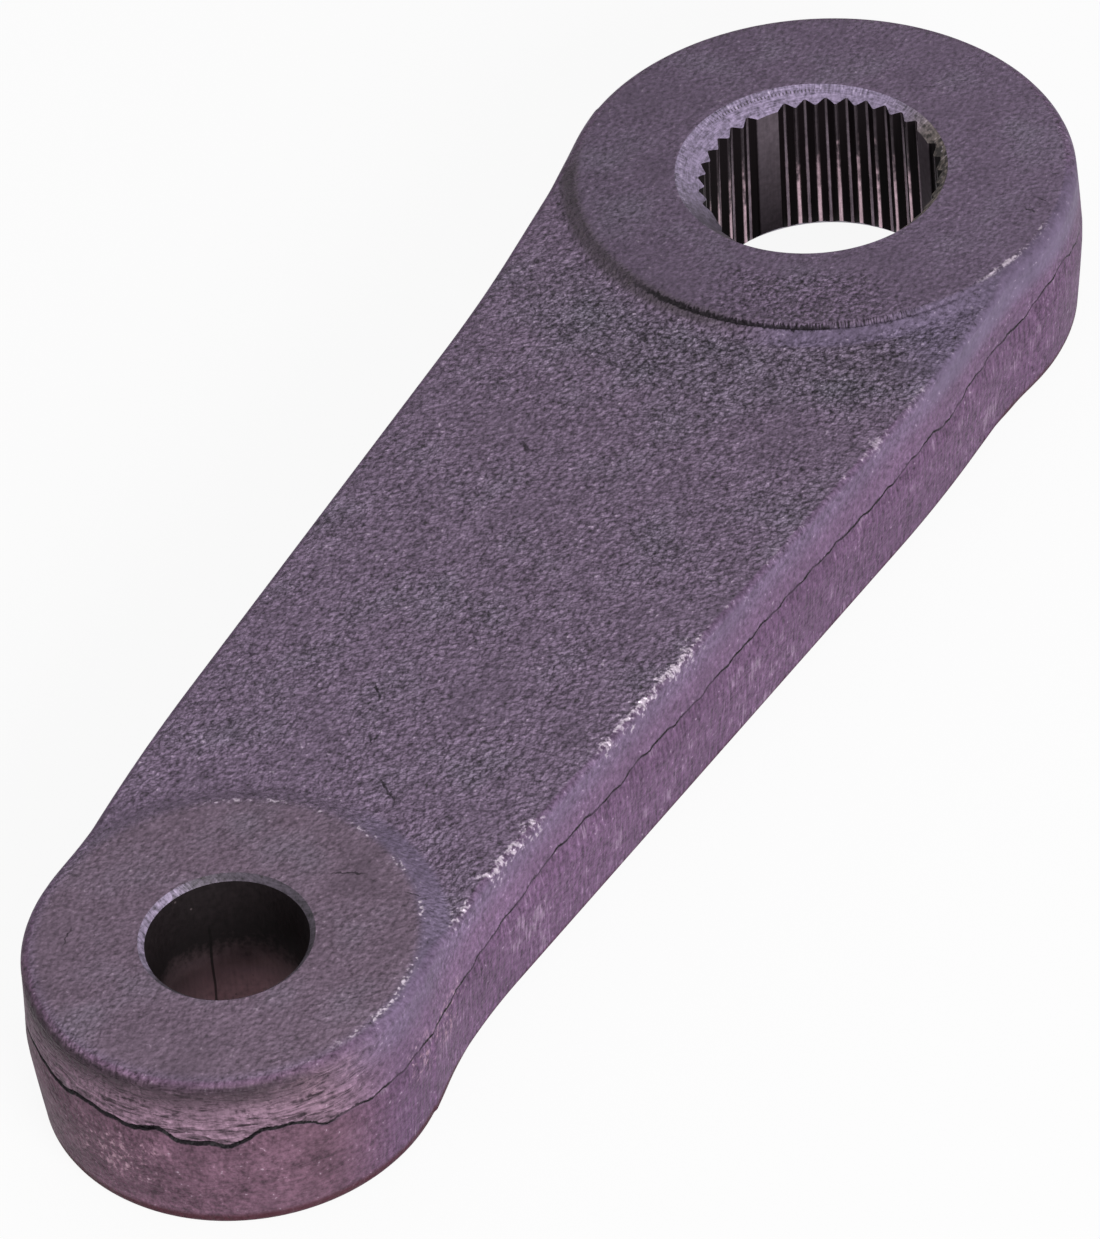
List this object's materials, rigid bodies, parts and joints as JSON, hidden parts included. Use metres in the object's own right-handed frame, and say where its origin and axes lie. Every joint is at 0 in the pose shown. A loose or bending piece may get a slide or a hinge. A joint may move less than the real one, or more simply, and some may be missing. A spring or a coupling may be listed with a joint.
{
  "type": "pitman arm",
  "caption": "Forged steel steering arm: a flat tapering web joins a big boss with a serrated tapered bore to a small boss with a tapered stud hole.",
  "frame": {"origin": "on the axis of the serrated bore, on the bottom machined face", "axes": "+X from the serrated bore to the stud hole, +Z out of the top faces (the nut side of the serrated bore)"},
  "size_m": [0.2105, 0.0676, 0.0228],
  "materials": {
    "forged_steel": "matt, blasted forging skin with a dark violet-grey tone"
  },
  "bodies": {
    "root": {"pitman_arm": "forged_steel"}
  },
  "joints": []
}
